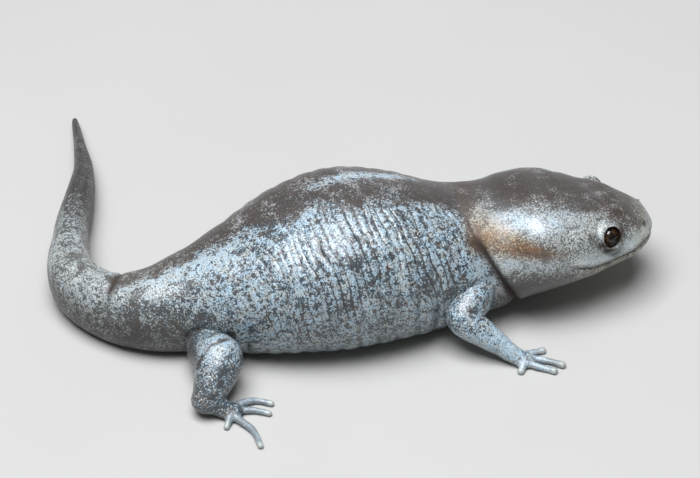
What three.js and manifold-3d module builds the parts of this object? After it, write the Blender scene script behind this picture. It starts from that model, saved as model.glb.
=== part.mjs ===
// Mole salamander (Ambystoma talpoideum), life size, lying on its belly, head lifted and tail curled round.
// Millimetres, +Z up, +X towards the head. The origin is on the belly, where it meets the floor.
import * as THREE from "three";
import { mergeVertices } from "three/addons/utils/BufferGeometryUtils.js";
import Module from "manifold-3d";

const wasm = await Module();
wasm.setup();

// ---------------------------------------------------------------- driving dimensions
const GAP = 0.3; // between nodes that touch
const FLOOR = 0;
const UP = new THREE.Vector3(0, 0, 1);

// The midline from snout to tail tip. Each station has its place in plan, its half width, and the heights of
// the back, of the widest level and of the underside.
const STATIONS = [
  { name: "snout", x: 31.8, y: 6.7, half: 4.25, back: 9.4, side: 6.7, belly: 4.95 },
  { name: "nostril", x: 29.6, y: 6.6, half: 4.55, back: 9.7, side: 6.8, belly: 4.7 },
  { name: "eye", x: 27.5, y: 6.3, half: 5.25, back: 10.95, side: 7.0, belly: 4.1 },
  { name: "cheek", x: 24.3, y: 5.9, half: 7.0, back: 11.6, side: 7.2, belly: 3.3 },
  { name: "jaw", x: 21.2, y: 5.6, half: 7.85, back: 12.6, side: 7.3, belly: 2.45 },
  { name: "crown", x: 19.1, y: 5.35, half: 8.05, back: 12.9, side: 7.2, belly: 1.9 },
  { name: "nape", x: 16.9, y: 5.0, half: 7.75, back: 12.65, side: 6.8, belly: 1.35 },
  { name: "gular", x: 14.9, y: 4.55, half: 7.3, back: 12.3, side: 6.4, belly: 0.7 },
  { name: "neck", x: 13.0, y: 4.1, half: 7.0, back: 12.5, side: 6.35, belly: 0.1 },
  { name: "shoulder", x: 11.0, y: 3.55, half: 7.4, back: 12.7, side: 6.3, belly: -0.2 },
  { name: "chest", x: 5.2, y: 2.0, half: 9.1, back: 15.0, side: 6.8, belly: -0.2 },
  { name: "midriff", x: -1.0, y: 0.6, half: 9.9, back: 16.2, side: 7.2, belly: -0.2 },
  { name: "loin", x: -7.2, y: -0.8, half: 9.0, back: 14.5, side: 6.8, belly: -0.2 },
  { name: "pelvis", x: -12.9, y: -2.1, half: 6.7, back: 11.75, side: 5.2, belly: -0.2 },
  { name: "vent", x: -16.6, y: -2.8, half: 5.15, back: 9.95, side: 4.5, belly: -0.2 },
  { name: "tail_root", x: -20.7, y: -3.4, half: 4.05, back: 8.4, side: 4.0, belly: -0.2 },
  { name: "tail_heel", x: -25.0, y: -2.4, half: 3.0, back: 7.2, side: 3.6, belly: -0.2 },
  { name: "tail_bend", x: -28.8, y: 1.2, half: 2.6, back: 6.8, side: 3.4, belly: -0.2 },
  { name: "tail_half", x: -29.85, y: 8.9, half: 1.9, back: 6.0, side: 3.0, belly: -0.15 },
  { name: "tail_slim", x: -29.4, y: 17.0, half: 1.5, back: 4.9, side: 2.4, belly: -0.1 },
  { name: "tail_thin", x: -29.35, y: 21.0, half: 1.15, back: 4.0, side: 2.0, belly: -0.1 },
  { name: "tail_end", x: -30.0, y: 25.6, half: 0.76, back: 2.9, side: 1.5, belly: -0.1 },
  { name: "tip", x: -31.3, y: 33.0, half: 0.35, back: 1.1, side: 0.5, belly: -0.05 },
];
const SNOUT_ROUND = 3.0; // length over which the snout rounds off
const TIP_ROUND = 0.9; // the same at the tail tip
// Power of a section's rounded outline, 2 for an ellipse: flatter on the head, rounder under the tail.
const ROUNDNESS = { head: 2.5, back: 2.25, belly: 2.6, tail: 2.3 };
const HEAD_FADE = [13, 19]; // distances over which the head's flatter top goes over into the back

const HEAD_ROLL = 12; // degrees the head leans over to its left; none from the shoulder on
const HEAD_MIDDLE = 7; // height the head rolls about
const HEAD_END = 16.8; // distance from the snout to the cut behind the head

// Eyes and nostrils sit on the surface: distance from the snout, angle above the widest level.
// The eyes look a few degrees ahead of straight out.
const EYE = { radius: 1.15, s: 5.65, angle: 19, sunk: 1.0, turned: 12 };
const LID = { radius: 1.75, across: 1.0, tall: 1.18 };
const NOSTRIL = { radius: 0.3, s: 1.12, angle: 45 };
// The mouth line in side view: distance back from the snout, height over the middle of the head.
const MOUTH = [[-1, -0.15], [0.7, -0.2], [2.5, -0.55], [4.5, -1.0], [6.5, -1.1], [8.6, -0.85], [9.9, -0.45]];
const JAW_BACK = [10.9, -6]; // where the lower jaw ends at the throat

const CROWN_FOLD = { s: 9.9, depth: 0.22, width: 0.6 }; // groove over the head, ahead of the jaw muscles
// The fold behind the jaws lies in a plane: distance back at the head's middle height, and its slant. It is
// steep under the jaws and shallow towards the neck, and fades out between two heights above and two below.
const GULAR = {
  back: 18,
  slant: 0.55,
  depth: 0.6,
  ahead: 0.45,
  behind: 1.3,
  above: [4.4, 1],
  below: [-8, -3],
};
// Creases on the inside of the tail's bend.
const TAIL_FOLDS = [{ s: 57.2, depth: 0.45, width: 0.4 }, { s: 61.8, depth: 0.22, width: 0.45 }];
const COSTAL = { count: 11, depth: 0.22, width: 0.22 }; // furrows of the flank, width over spacing

// Limbs: points from inside the body to the wrist or ankle, with the radius at each. Digits: heading in
// plan (degrees, 0 along +X, positive towards +Y), length, root's place across the palm (-1 to 1), bow.
const LIMBS = {
  arm_right: {
    names: ["upper_arm_right", "forearm_right", "hand_right"],
    path: [
      [13.2, 0.4, 5.4],
      [12.6, -3.6, 5.2],
      [11.6, -5.3, 4.5],
      [13.9, -6.3, 3.0],
      [16.3, -7.1, 1.5],
    ],
    radii: [2.2, 2.0, 1.75, 1.45, 0.95],
    palm: { length: 1.7, half: 1.2, thick: 0.6, heading: -15 },
    digits: [
      [24, 2.0, 0.95, 0],
      [-13, 4.0, 0.4, 0.2],
      [-21, 3.4, -0.25, -0.1],
      [-100, 0.8, -0.75, 0.1],
    ],
  },
  arm_left: {
    names: ["upper_arm_left", "forearm_left", "hand_left"],
    path: [
      [12.8, 5.2, 5.4],
      [12.3, 10.6, 5.2],
      [10.9, 12.9, 4.5],
      [12.8, 14.1, 3.0],
      [14.9, 15.1, 1.5],
    ],
    radii: [2.2, 2.0, 1.75, 1.45, 0.95],
    palm: { length: 1.7, half: 1.2, thick: 0.6, heading: 24 },
    digits: [
      [-14, 2.0, -0.95, 0],
      [10, 3.6, -0.35, 0.2],
      [32, 3.5, 0.3, -0.1],
      [70, 2.0, 0.9, 0],
    ],
  },
  leg_right: {
    names: ["thigh_right", "shank_right", "foot_right"],
    path: [
      [-14.2, -4.2, 3.6],
      [-14.4, -9.3, 3.1],
      [-13.3, -11.3, 4.0],
      [-13.8, -13.2, 3.0],
      [-14.6, -15.0, 1.8],
    ],
    radii: [2.3, 2.25, 2.45, 2.05, 1.42],
    palm: { length: 2.6, half: 1.25, thick: 0.66, heading: -8 },
    digits: [
      [34, 1.7, 1.0, 0],
      [12, 4.0, 0.65, 0.7],
      [-2, 3.8, 0.15, 0.3],
      [-54, 5.3, -0.45, 0.6],
      [-106, 1.1, -0.95, 0],
    ],
  },
  leg_left: {
    names: ["thigh_left", "shank_left", "foot_left"],
    path: [
      [-14.8, -1.2, 4.5],
      [-14.3, 3.0, 4.2],
      [-13.4, 5.7, 3.9],
      [-14.9, 6.9, 2.9],
      [-16.2, 7.6, 1.8],
    ],
    radii: [2.7, 2.4, 2.1, 1.8, 1.4],
    palm: { length: 2.6, half: 1.25, thick: 0.66, heading: 12 },
    digits: [
      [-32, 1.8, -1.0, 0],
      [-10, 3.6, -0.65, -0.3],
      [10, 4.1, -0.1, 0],
      [30, 3.6, 0.5, 0.2],
      [66, 1.9, 0.95, 0],
    ],
  },
};
const JOINT_SWELL = 1.05; // elbows, knees, wrists and ankles over the limb beside them
const DIGIT = { root: 0.38, tip: 0.28 };

const SKIN = { brown: 0x4a4038, grey: 0x8c9aa2 };

// ---------------------------------------------------------------- curves
// Smooth curve through (at, value) pairs: each slope is the parabola's through a knot and its neighbours.
function through(at, values) {
  const last = at.length - 1;
  const secant = (i) => (values[i + 1] - values[i]) / (at[i + 1] - at[i]);
  const slopes = values.map((_, i) => {
    if (i === 0) return secant(0);
    if (i === last) return secant(last - 1);
    const before = at[i] - at[i - 1];
    const after = at[i + 1] - at[i];
    return (after * secant(i - 1) + before * secant(i)) / (before + after);
  });
  return (s) => {
    const t = Math.min(Math.max(s, at[0]), at[last]);
    let i = 0;
    while (i < last - 1 && t > at[i + 1]) i++;
    const h = at[i + 1] - at[i];
    const u = (t - at[i]) / h;
    return (
      (1 + 2 * u) * (1 - u) ** 2 * values[i] +
      u * (1 - u) ** 2 * h * slopes[i] +
      u * u * (3 - 2 * u) * values[i + 1] +
      u * u * (u - 1) * h * slopes[i + 1]
    );
  };
}

// Distance along the midline to each station, from the snout.
const REACH = [0];
for (let i = 1; i < STATIONS.length; i++) {
  const [a, b] = [STATIONS[i - 1], STATIONS[i]];
  REACH.push(REACH[i - 1] + Math.hypot(b.x - a.x, b.y - a.y));
}
const along = (name) => REACH[STATIONS.findIndex((station) => station.name === name)];
const LENGTH = along("tip");
const curve = {};
for (const key of ["x", "y", "half", "back", "side", "belly"])
  curve[key] = through(REACH, STATIONS.map((station) => station[key]));

const smoothstep = (a, b, t) => {
  const u = Math.min(Math.max((t - a) / (b - a), 0), 1);
  return u * u * (3 - 2 * u);
};
const bell = (t, centre, width) => Math.exp(-(((t - centre) / width) ** 2));

// Unit vector along the midline in plan, towards the tail, at distance s.
function heading(s) {
  const step = 0.4;
  const a = Math.max(s - step, 0);
  const b = Math.min(s + step, LENGTH);
  return new THREE.Vector2(curve.x(b) - curve.x(a), curve.y(b) - curve.y(a)).normalize();
}

// How far a section has grown from the rounded snout or tail tip, 0 to 1.
function rounding(s) {
  const front = Math.min(s / SNOUT_ROUND, 1);
  const rear = Math.min((LENGTH - s) / TIP_ROUND, 1);
  return Math.sqrt(1 - (1 - front) ** 2) * Math.sqrt(1 - (1 - rear) ** 2);
}

const degrees = (value) => THREE.MathUtils.degToRad(value);
const headRoll = (s) => degrees(HEAD_ROLL) * (1 - smoothstep(along("crown"), along("shoulder"), s));

// The head's own frame: origin at the snout, an axis towards the neck and one up, both leaning with the head.
const snout = new THREE.Vector3(curve.x(0), curve.y(0), HEAD_MIDDLE);
const backward = new THREE.Vector3(curve.x(HEAD_END) - snout.x, curve.y(HEAD_END) - snout.y, 0).normalize();
const headUp = UP.clone().applyAxisAngle(backward, degrees(HEAD_ROLL));

// Depth of the costal furrows, the groove over the crown and the creases of the tail's bend.
const FLANK = [along("shoulder") + 2.2, along("pelvis") - 0.8];
function furrow(s, angle) {
  const turn = ((s - FLANK[0]) / (FLANK[1] - FLANK[0])) * COSTAL.count;
  const near = Math.abs(turn - Math.round(turn));
  const onFlank = smoothstep(-0.6, 0.2, turn) * smoothstep(COSTAL.count + 0.6, COSTAL.count - 0.2, turn);
  const lateral = bell(Math.abs(Math.cos(angle)), 1, 0.38);
  const costal = COSTAL.depth * onFlank * lateral * bell(near, 0, COSTAL.width);
  const upward = Math.sin(angle);
  const crown = CROWN_FOLD.depth * smoothstep(0.1, 0.5, upward) * bell(s, CROWN_FOLD.s, CROWN_FOLD.width);
  const bend = TAIL_FOLDS.reduce((sum, fold) => sum + fold.depth * bell(s, fold.s, fold.width), 0);
  return costal + crown + smoothstep(-0.2, 0.6, upward) * bend;
}

// Depth of the gular fold at a point of the plain body.
function gularDepth(point) {
  const off = point.clone().sub(snout);
  const height = off.dot(headUp);
  const past = off.dot(backward) - GULAR.back - GULAR.slant * height;
  const fade = smoothstep(...GULAR.above, height) * smoothstep(...GULAR.below, height);
  return GULAR.depth * fade * bell(past, 0, past > 0 ? GULAR.behind : GULAR.ahead);
}

function roundnessAt(s, z) {
  const mix = THREE.MathUtils.lerp;
  if (z > 0) return mix(ROUNDNESS.head, ROUNDNESS.back, smoothstep(...HEAD_FADE, s));
  return mix(ROUNDNESS.belly, ROUNDNESS.tail, smoothstep(along("vent"), along("tail_bend"), s));
}

// A point of the plain body `cut` below its surface; angle 0 is the animal's left side, PI/2 the back.
function sectionPoint(s, angle, grow, cut) {
  const dir = heading(s);
  const round = rounding(s);
  const c = Math.cos(angle);
  const z = Math.sin(angle);
  const power = 2 / roundnessAt(s, z);
  const side = curve.side(s);
  const height = z > 0 ? curve.back(s) - side : side - curve.belly(s);
  const half = curve.half(s) * round + grow - cut;
  const lift = height * round + grow - 0.4 * cut;
  const across = half * Math.sign(c) * Math.abs(c) ** power;
  const up = lift * Math.sign(z) * Math.abs(z) ** power;
  const roll = headRoll(s);
  const sideways = across * Math.cos(roll) + up * Math.sin(roll);
  const upwards = up * Math.cos(roll) - across * Math.sin(roll);
  return new THREE.Vector3(
    curve.x(s) + dir.y * sideways,
    curve.y(s) - dir.x * sideways,
    Math.max(side + upwards, FLOOR - grow),
  );
}

// A point of the body's surface, with its furrows and folds.
function bodyPoint(s, angle, grow = 0) {
  const fold = s < along("chest") ? gularDepth(sectionPoint(s, angle, grow, 0)) : 0;
  return sectionPoint(s, angle, grow, furrow(s, angle) + fold);
}

// ---------------------------------------------------------------- solids
// Closed geometry from rings of points that all run the same way round, with a flat cap at each end.
function skinOver(rings, sides) {
  const positions = rings.flat().flatMap((p) => [p.x, p.y, p.z]);
  const index = [];
  for (let i = 0; i < rings.length - 1; i++)
    for (let j = 0; j < sides; j++) {
      const a = i * sides + j;
      const b = i * sides + ((j + 1) % sides);
      index.push(a, b, a + sides, b, b + sides, a + sides);
    }
  for (const [ring, flip] of [[0, true], [rings.length - 1, false]]) {
    const middle = rings[ring].reduce((sum, p) => sum.add(p), new THREE.Vector3()).divideScalar(sides);
    const centre = positions.length / 3;
    positions.push(middle.x, middle.y, middle.z);
    for (let j = 0; j < sides; j++) {
      const a = ring * sides + j;
      const b = ring * sides + ((j + 1) % sides);
      index.push(...(flip ? [b, a, centre] : [a, b, centre]));
    }
  }
  const geometry = new THREE.BufferGeometry();
  geometry.setAttribute("position", new THREE.Float32BufferAttribute(positions, 3));
  geometry.setIndex(index);
  return geometry;
}

function manifoldOf(positions, triangles) {
  return new wasm.Manifold(new wasm.Mesh({ numProp: 3, vertProperties: positions, triVerts: triangles }));
}

// A closed geometry as a solid, whichever way round its faces were given.
function solid(geometry) {
  const bare = new THREE.BufferGeometry();
  bare.setAttribute("position", geometry.getAttribute("position"));
  if (geometry.index) bare.setIndex(geometry.index);
  const merged = mergeVertices(bare, 1e-5);
  const positions = new Float32Array(merged.attributes.position.array);
  const triangles = new Uint32Array(merged.index.array);
  const made = manifoldOf(positions, triangles);
  return made.volume() > 0 ? made : manifoldOf(positions, triangles.reverse());
}

const largest = (made) =>
  made.decompose().reduce((best, piece) => (piece.volume() > best.volume() ? piece : best));

// A length of the body between two distances along the midline.
function bodyLength(from, to, spacing, sides, grow = 0) {
  const stops = [];
  const count = Math.max(Math.round((to - from) / spacing), 2);
  for (let i = 0; i <= count; i++) stops.push(from + ((to - from) * i) / count);
  return bodyThrough(stops, sides, grow);
}

function bodyThrough(stops, sides, grow = 0) {
  const rings = stops.map((s) =>
    Array.from({ length: sides }, (_, j) => bodyPoint(s, ((j + 0.5) / sides) * 2 * Math.PI, grow)),
  );
  return solid(skinOver(rings, sides));
}

// Distances for a rounded end of length `round` at the start, closing to a point.
const roundStops = (round, steps) =>
  Array.from({ length: steps }, (_, i) => round * (1 - Math.cos(((i + 0.35) / steps) * (Math.PI / 2))));

// A bent, tapered length of limb along a smooth path, kept above the floor. `flats` gives its height over its
// width at each point; a round tip closes over the last `tipShare` of it.
function tube(path, radii, { flats = radii.map(() => 1), rings = 7, sides = 12, tipShare = 0 } = {}) {
  const line = new THREE.CatmullRomCurve3(path, false, "centripetal");
  const reach = [0];
  for (let i = 1; i < path.length; i++) reach.push(reach[i - 1] + path[i].distanceTo(path[i - 1]));
  const knots = reach.map((r) => r / reach.at(-1));
  const radius = through(knots, radii);
  const flatness = through(knots, flats);
  const plain = 1 - tipShare;
  const stops = Array.from({ length: rings }, (_, i) => (plain * i) / (rings - 1));
  if (tipShare) stops.push(...[0.5, 0.92].map((k) => plain + tipShare * k));
  const loops = stops.map((t) => {
    const centre = line.getPointAt(t);
    const tangent = line.getTangentAt(t);
    const side = new THREE.Vector3().crossVectors(tangent, UP).normalize();
    const up = new THREE.Vector3().crossVectors(side, tangent).normalize();
    const past = tipShare ? Math.max((t - plain) / tipShare, 0) : 0;
    const wide = radius(t) * Math.sqrt(1 - 0.96 * past ** 2);
    const tall = wide * flatness(t);
    return Array.from({ length: sides }, (_, j) => {
      const angle = ((j + 0.5) / sides) * 2 * Math.PI;
      const p = centre.clone().addScaledVector(side, wide * Math.cos(angle));
      p.addScaledVector(up, tall * Math.sin(angle));
      return p.setZ(Math.max(p.z, FLOOR));
    });
  });
  return solid(skinOver(loops, sides));
}

// ---------------------------------------------------------------- the body in lengths
const HEAD_SIDES = 34;
const TRUNK_SIDES = 24;
const TAIL_SIDES = 18;
const CUTS = { neck: HEAD_END, chest: 20.6, waist: 34.1, vent: 50.0, tailMiddle: 60.6, tailEnd: 72.5 };
const HALF_GAP = GAP / 2;
// Between rings of points, closer where folds cross them.
const STEP = { head: 1.1, throat: 0.65, tail: 0.6, tailEnd: 1.8 };
STEP.flank = (FLANK[1] - FLANK[0]) / COSTAL.count / 4; // four rings to a furrow
const THROAT_FROM = 13;

const headStops = roundStops(SNOUT_ROUND, 5);
for (let s = SNOUT_ROUND; s < THROAT_FROM; s += STEP.head) headStops.push(s);
for (let s = THROAT_FROM; s < CUTS.neck - GAP; s += STEP.throat) headStops.push(s);
headStops.push(CUTS.neck - HALF_GAP);
const tailStops = [];
for (let s = CUTS.tailEnd + HALF_GAP; s < LENGTH - TIP_ROUND; s += STEP.tailEnd) tailStops.push(s);
tailStops.push(...roundStops(TIP_ROUND, 3).reverse().map((d) => LENGTH - d));

const body = {
  head: bodyThrough(headStops, HEAD_SIDES),
  neck: bodyLength(CUTS.neck + HALF_GAP, CUTS.chest - HALF_GAP, STEP.throat, TRUNK_SIDES),
  torso_front: bodyLength(CUTS.chest + HALF_GAP, CUTS.waist - HALF_GAP, STEP.flank, TRUNK_SIDES),
  torso_rear: bodyLength(CUTS.waist + HALF_GAP, CUTS.vent - HALF_GAP, STEP.flank, TRUNK_SIDES),
  tail_base: bodyLength(CUTS.vent + HALF_GAP, CUTS.tailMiddle - HALF_GAP, STEP.tail, TAIL_SIDES),
  tail_middle: bodyLength(CUTS.tailMiddle + HALF_GAP, CUTS.tailEnd - HALF_GAP, 2 * STEP.tail, TAIL_SIDES),
  tail_end: bodyThrough(tailStops, TAIL_SIDES),
};

// ---------------------------------------------------------------- the head
const HEAD_SPAN = 26; // wider than the head

// The region of the lower jaw: under the mouth line and ahead of the jaw joint, grown or shrunk by `grow`.
function jawRegion(grow) {
  const shape = new THREE.Shape();
  const mouth = through(MOUTH.map((p) => p[0]), MOUTH.map((p) => p[1]));
  const [cornerAt] = MOUTH.at(-1);
  const steps = 12;
  shape.moveTo(MOUTH[0][0], mouth(MOUTH[0][0]) + grow);
  for (let i = 1; i <= steps; i++) {
    const at = MOUTH[0][0] + ((cornerAt - MOUTH[0][0]) * i) / steps;
    shape.lineTo(at + (i === steps ? grow : 0), mouth(at) + grow);
  }
  shape.lineTo(JAW_BACK[0] + grow, JAW_BACK[1]);
  shape.lineTo(MOUTH[0][0], JAW_BACK[1]);
  const prism = new THREE.ExtrudeGeometry(shape, { depth: HEAD_SPAN, bevelEnabled: false });
  const lateral = new THREE.Vector3().crossVectors(backward, headUp);
  const place = new THREE.Matrix4().makeBasis(backward, headUp, lateral);
  place.setPosition(snout.clone().addScaledVector(lateral, -HEAD_SPAN / 2));
  return solid(prism.applyMatrix4(place));
}

function ball(radius, centre, rings = 9, lowest = -Infinity) {
  const geometry = new THREE.SphereGeometry(radius, 2 * rings, rings).translate(centre.x, centre.y, centre.z);
  const place = geometry.getAttribute("position");
  for (let i = 0; i < place.count; i++) place.setZ(i, Math.max(place.getZ(i), lowest));
  return solid(geometry);
}

// An elliptical bar from `from` towards `way`, wide along the head's length.
function bar(from, way, across, tall, length) {
  const geometry = new THREE.CylinderGeometry(1, 1, length, 20).translate(0, length / 2, 0);
  const wide = backward.clone().addScaledVector(way, -backward.dot(way)).normalize();
  const place = new THREE.Matrix4().makeBasis(
    wide.clone().multiplyScalar(across),
    way,
    new THREE.Vector3().crossVectors(wide, way).multiplyScalar(tall),
  );
  return solid(geometry.applyMatrix4(place.setPosition(from)));
}

const eyes = [
  { name: "eye_left", angle: degrees(EYE.angle), nostril: degrees(NOSTRIL.angle) },
  { name: "eye_right", angle: Math.PI - degrees(EYE.angle), nostril: Math.PI - degrees(NOSTRIL.angle) },
];
let head = body.head;
const nodes = {};
for (const eye of eyes) {
  const surface = bodyPoint(EYE.s, eye.angle);
  const axis = new THREE.Vector3(curve.x(EYE.s), curve.y(EYE.s), curve.side(EYE.s));
  const outward = surface.clone().sub(axis).normalize();
  const centre = surface.clone().addScaledVector(outward, -EYE.sunk);
  const gaze = outward.clone().addScaledVector(backward, -Math.tan(degrees(EYE.turned))).normalize();
  const socket = ball(EYE.radius + GAP, centre).add(bar(centre, gaze, LID.across, LID.tall, 3));
  head = head.add(ball(LID.radius, centre)).subtract(socket);
  head = head.subtract(ball(NOSTRIL.radius, bodyPoint(NOSTRIL.s, eye.nostril), 5));
  nodes[eye.name] = ball(EYE.radius, centre, 8);
}
nodes.lower_jaw = largest(head.intersect(jawRegion(-HALF_GAP)));
nodes.head = largest(head.subtract(jawRegion(HALF_GAP)));

// ---------------------------------------------------------------- the limbs
const everyStop = [];
for (let s = SNOUT_ROUND; s < LENGTH - TIP_ROUND; s += STEP.flank) everyStop.push(s);
const clearance = bodyThrough(everyStop, TRUNK_SIDES, GAP);

const flatVector = (angle) => new THREE.Vector3(Math.cos(degrees(angle)), Math.sin(degrees(angle)), 0);

// Palm or sole with its digits, from just behind the wrist or ankle.
function extremity(wrist, radius, palm, digits) {
  const way = flatVector(palm.heading);
  const across = flatVector(palm.heading + 90);
  const middle = wrist.clone().addScaledVector(way, 0.45 * palm.length).setZ((wrist.z + 2 * palm.thick) / 3);
  const end = wrist.clone().addScaledVector(way, palm.length).setZ(0.92 * palm.thick);
  const past = end.clone().addScaledVector(way, 0.45).setZ(0.8 * palm.thick);
  const heel = wrist.clone().addScaledVector(way, -0.4 * radius);
  const flat = palm.thick / palm.half;
  let made = tube([heel, middle, end, past], [radius, 0.85 * palm.half, palm.half, 0.72 * palm.half], {
    flats: [0.95, 0.72, flat, flat],
    rings: 6,
    sides: 12,
  });
  for (const [angle, length, place, bow] of digits) {
    const ahead = flatVector(angle);
    const aside = flatVector(angle + 90);
    const root = end.clone().addScaledVector(across, 0.78 * place * palm.half);
    const at = (share, off, z) =>
      root.clone().addScaledVector(ahead, share * length).addScaledVector(aside, off * bow).setZ(z);
    const path = [at(-0.25, 0, 0.44), at(0.15, 0.4, 0.48), at(0.6, 1, 0.4), at(1, 0, 0.3)];
    const radii = [DIGIT.root, DIGIT.root, 0.4 * DIGIT.root + 0.6 * DIGIT.tip, DIGIT.tip];
    made = made.add(tube(path, radii, { rings: 4, sides: 8, tipShare: 0.35 / length }));
  }
  return made;
}

// The part of a solid ahead of a plane across a bend, half a gap clear of it; way -1 keeps the part behind.
function beyond(made, point, normal, way) {
  const facing = normal.clone().multiplyScalar(way);
  return made.trimByPlane(facing.toArray(), facing.dot(point) + HALF_GAP);
}

for (const { names, path, radii, palm, digits } of Object.values(LIMBS)) {
  const points = path.map((p) => new THREE.Vector3(...p));
  const [, before, elbow, after, wrist] = points;
  const towards = (a, b) => b.clone().sub(a).normalize();
  const elbowPlane = towards(before, elbow).add(towards(elbow, after)).normalize();
  const wristPlane = towards(after, wrist).add(flatVector(palm.heading)).normalize();
  const joint = ball(JOINT_SWELL * radii[2], elbow, 7);
  const end = ball(JOINT_SWELL * radii[4], wrist, 6, FLOOR);
  const upper = tube(points.slice(0, 3), radii.slice(0, 3)).add(joint);
  const lower = tube(points.slice(2), radii.slice(2)).add(joint).add(end);
  const parts = [
    beyond(upper, elbow, elbowPlane, -1),
    beyond(beyond(lower, elbow, elbowPlane, 1), wrist, wristPlane, -1),
    beyond(extremity(wrist, radii[4], palm, digits).add(end), wrist, wristPlane, 1),
  ];
  for (const [i, made] of parts.entries()) nodes[names[i]] = largest(made.subtract(clearance));
}
for (const name of Object.keys(body)) nodes[name] ??= body[name];

// ---------------------------------------------------------------- the scene graph
function geometryOf(made) {
  const { numProp, vertProperties, triVerts } = made.getMesh();
  const positions = new Float32Array((vertProperties.length / numProp) * 3);
  for (let i = 0; i < positions.length / 3; i++)
    positions.set(vertProperties.subarray(i * numProp, i * numProp + 3), i * 3);
  const geometry = new THREE.BufferGeometry();
  geometry.setAttribute("position", new THREE.BufferAttribute(positions, 3));
  geometry.setIndex(new THREE.BufferAttribute(new Uint32Array(triVerts), 1));
  geometry.computeVertexNormals();
  return geometry;
}

const salamander = new THREE.Group();
for (const [name, made] of Object.entries(nodes)) {
  const isEye = name.startsWith("eye");
  const isEnd = name.startsWith("hand") || name.startsWith("foot");
  const material = new THREE.MeshStandardMaterial({
    color: isEye ? 0x17110d : isEnd ? SKIN.grey : SKIN.brown,
    roughness: isEye ? 0.08 : 0.38,
    metalness: 0,
  });
  const mesh = new THREE.Mesh(geometryOf(made), material);
  mesh.name = name;
  salamander.add(mesh);
}
export default salamander;
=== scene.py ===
"""Mole salamander, life size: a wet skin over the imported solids, fine eyes, a pale floor and soft light.

The skin is the zero level of a distance field in millimetres, in the solids' own frame: rounded sections
along the midline, limbs and digits as tapered ropes that blend into them, and lids, nostrils, mouth line and
folds carved in. Finer folds are moved into its vertices. Marks, which are numbers kept on the vertices, say
where the nodes paint the flecks and the colours.
"""

import math

import bpy
import numpy as np
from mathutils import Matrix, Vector


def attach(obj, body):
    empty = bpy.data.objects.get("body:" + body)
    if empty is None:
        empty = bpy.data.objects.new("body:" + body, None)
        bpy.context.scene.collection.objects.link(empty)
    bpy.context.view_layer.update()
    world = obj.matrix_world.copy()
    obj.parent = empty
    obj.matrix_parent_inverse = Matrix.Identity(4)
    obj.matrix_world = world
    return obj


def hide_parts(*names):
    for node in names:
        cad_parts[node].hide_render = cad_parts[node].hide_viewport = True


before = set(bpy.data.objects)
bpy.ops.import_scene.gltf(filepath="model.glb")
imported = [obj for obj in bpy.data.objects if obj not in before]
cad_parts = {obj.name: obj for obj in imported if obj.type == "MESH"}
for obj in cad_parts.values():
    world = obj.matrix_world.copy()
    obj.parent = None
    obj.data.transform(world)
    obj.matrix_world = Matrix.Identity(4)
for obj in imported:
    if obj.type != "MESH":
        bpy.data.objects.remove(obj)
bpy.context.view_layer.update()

MM = 0.001  # the sizes below are in millimetres

# ---------- the camera
VIEW_WIDTH = 73.5  # seen across the picture at the target
VIEW_DISTANCE = 320.0
VIEW_ELEVATION = math.radians(40.0)
VIEW_TARGET = Vector((0.0, 4.2, 7.0))
SENSOR = 36.0

camera = bpy.data.objects.new("camera", bpy.data.cameras.new("camera"))
bpy.context.scene.collection.objects.link(camera)
look = Vector((0.0, math.cos(VIEW_ELEVATION), -math.sin(VIEW_ELEVATION)))
camera.location = (VIEW_TARGET - look * VIEW_DISTANCE) * MM
camera.rotation_euler = look.to_track_quat("-Z", "Y").to_euler()
camera.data.sensor_width = SENSOR
camera.data.lens = SENSOR * VIEW_DISTANCE / VIEW_WIDTH
camera.data.clip_start = 0.01
bpy.context.scene.camera = camera

# ---------- driving dimensions
# The midline from snout to tail tip: place in plan, half width, and the heights of the back, of the widest
# level and of the underside.
STATIONS = {
    "snout": (31.8, 6.7, 4.25, 9.4, 6.7, 4.95),
    "nostril": (29.6, 6.6, 4.55, 9.7, 6.8, 4.7),
    "eye": (27.5, 6.3, 5.25, 10.95, 7.0, 4.1),
    "cheek": (24.3, 5.9, 7.0, 11.6, 7.2, 3.3),
    "jaw": (21.2, 5.6, 7.85, 12.6, 7.3, 2.45),
    "crown": (19.1, 5.35, 8.05, 12.9, 7.2, 1.9),
    "nape": (16.9, 5.0, 7.75, 12.65, 6.8, 1.35),
    "gular": (14.9, 4.55, 7.3, 12.3, 6.4, 0.7),
    "neck": (13.0, 4.1, 7.0, 12.5, 6.35, 0.1),
    "shoulder": (11.0, 3.55, 7.4, 12.7, 6.3, -0.2),
    "chest": (5.2, 2.0, 9.1, 15.0, 6.8, -0.2),
    "midriff": (-1.0, 0.6, 9.9, 16.2, 7.2, -0.2),
    "loin": (-7.2, -0.8, 9.0, 14.5, 6.8, -0.2),
    "pelvis": (-12.9, -2.1, 6.7, 11.75, 5.2, -0.2),
    "vent": (-16.6, -2.8, 5.15, 9.95, 4.5, -0.2),
    "tail_root": (-20.7, -3.4, 4.05, 8.4, 4.0, -0.2),
    "tail_heel": (-25.0, -2.4, 3.0, 7.2, 3.6, -0.2),
    "tail_bend": (-28.8, 1.2, 2.6, 6.8, 3.4, -0.2),
    "tail_half": (-29.85, 8.9, 1.9, 6.0, 3.0, -0.15),
    "tail_slim": (-29.4, 17.0, 1.5, 4.9, 2.4, -0.1),
    "tail_thin": (-29.35, 21.0, 1.15, 4.0, 2.0, -0.1),
    "tail_end": (-30.0, 25.6, 0.76, 2.9, 1.5, -0.1),
    "tip": (-31.3, 33.0, 0.35, 1.1, 0.5, -0.05),
}
SNOUT_ROUND = 3.0
TIP_ROUND = 0.9
HEAD_ROLL = math.radians(12.0)
HEAD_MIDDLE = 7.0
HEAD_END = 16.8  # the head's own frame points from here to the snout
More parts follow.
